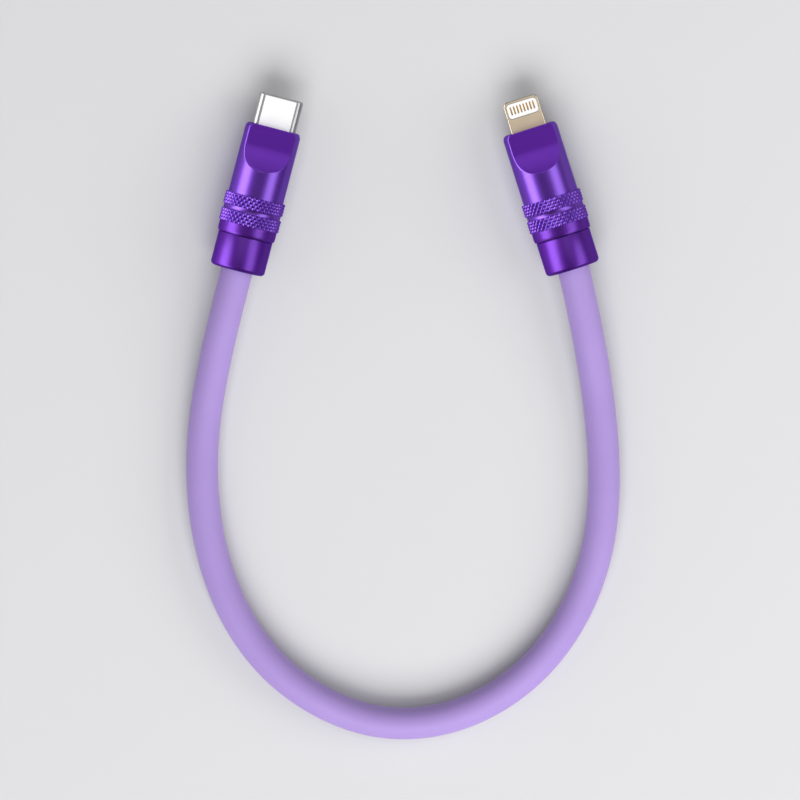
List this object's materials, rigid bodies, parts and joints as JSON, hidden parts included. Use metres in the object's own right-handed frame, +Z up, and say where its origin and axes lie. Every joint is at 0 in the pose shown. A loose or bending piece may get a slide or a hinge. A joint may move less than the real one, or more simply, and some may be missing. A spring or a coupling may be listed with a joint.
{
  "type": "charging cable",
  "caption": "Short thick soft charging cable laid in a horseshoe, with a C-type plug and a flat tab plug in turned metal housings with knurled grip bands.",
  "frame": {"origin": "on the table, under the centre of the box round the two connectors (the cable left out)", "axes": "+X from the C-type plug to the tab plug, +Y from the cable bend towards the plug tips, +Z up from the table, normal to the milled flats"},
  "size_m": [0.08, 0.1195, 0.0113],
  "materials": {
    "lavender_silicone": "matte, soft touch",
    "anodised_aluminium": "satin, purple anodised",
    "bright_steel": "bright, lightly brushed",
    "warm_nickel": "satin, warm nickel plated",
    "gold_plating": "polished gold plating",
    "black_plastic": "moulded, matte",
    "white_plastic": "moulded, satin",
    "natural_plastic": "natural, unpainted",
    "circuit_board": "green solder resist",
    "ceramic": "fired, matte",
    "ground_insulation": "smooth wire insulation",
    "data_minus_insulation": "smooth wire insulation",
    "data_plus_insulation": "smooth wire insulation",
    "power_insulation": "smooth wire insulation"
  },
  "bodies": {
    "root": {"c_plug_capacitor": "ceramic", "c_plug_circuit_board": "circuit_board", "c_plug_contact_a1": "gold_plating", "c_plug_contact_a12": "gold_plating", "c_plug_contact_a4": "gold_plating", "c_plug_contact_a5": "gold_plating", "c_plug_contact_a6": "gold_plating", "c_plug_contact_a7": "gold_plating", "c_plug_contact_a9": "gold_plating", "c_plug_contact_b1": "gold_plating", "c_plug_contact_b12": "gold_plating", "c_plug_contact_b4": "gold_plating", "c_plug_contact_b5": "gold_plating", "c_plug_contact_b9": "gold_plating", "c_plug_crimp_ring": "bright_steel", "c_plug_front_shell": "anodised_aluminium", "c_plug_ground_spring_lower": "bright_steel", "c_plug_ground_spring_upper": "bright_steel", "c_plug_inner_mould": "natural_plastic", "c_plug_insulator": "black_plastic", "c_plug_resistor": "black_plastic", "c_plug_shell": "bright_steel", "c_plug_side_latch": "bright_steel", "c_plug_tail_cap": "anodised_aluminium", "c_plug_wire_data_minus": "data_minus_insulation", "c_plug_wire_data_plus": "data_plus_insulation", "c_plug_wire_ground": "ground_insulation", "c_plug_wire_power": "power_insulation", "cable_jacket": "lavender_silicone", "tab_plug_capacitor": "ceramic", "tab_plug_circuit_board": "circuit_board", "tab_plug_contact_lower_1": "gold_plating", "tab_plug_contact_lower_2": "gold_plating", "tab_plug_contact_lower_3": "gold_plating", "tab_plug_contact_lower_4": "gold_plating", "tab_plug_contact_lower_5": "gold_plating", "tab_plug_contact_lower_6": "gold_plating", "tab_plug_contact_lower_7": "gold_plating", "tab_plug_contact_lower_8": "gold_plating", "tab_plug_contact_upper_1": "gold_plating", "tab_plug_contact_upper_2": "gold_plating", "tab_plug_contact_upper_3": "gold_plating", "tab_plug_contact_upper_4": "gold_plating", "tab_plug_contact_upper_5": "gold_plating", "tab_plug_contact_upper_6": "gold_plating", "tab_plug_contact_upper_7": "gold_plating", "tab_plug_contact_upper_8": "gold_plating", "tab_plug_controller_chip": "black_plastic", "tab_plug_crimp_ring": "bright_steel", "tab_plug_frame": "warm_nickel", "tab_plug_front_shell": "anodised_aluminium", "tab_plug_inner_mould": "natural_plastic", "tab_plug_insulator_lower": "white_plastic", "tab_plug_insulator_upper": "white_plastic", "tab_plug_tail_cap": "anodised_aluminium", "tab_plug_wire_data_minus": "data_minus_insulation", "tab_plug_wire_data_plus": "data_plus_insulation", "tab_plug_wire_ground": "ground_insulation", "tab_plug_wire_power": "power_insulation"}
  },
  "joints": []
}
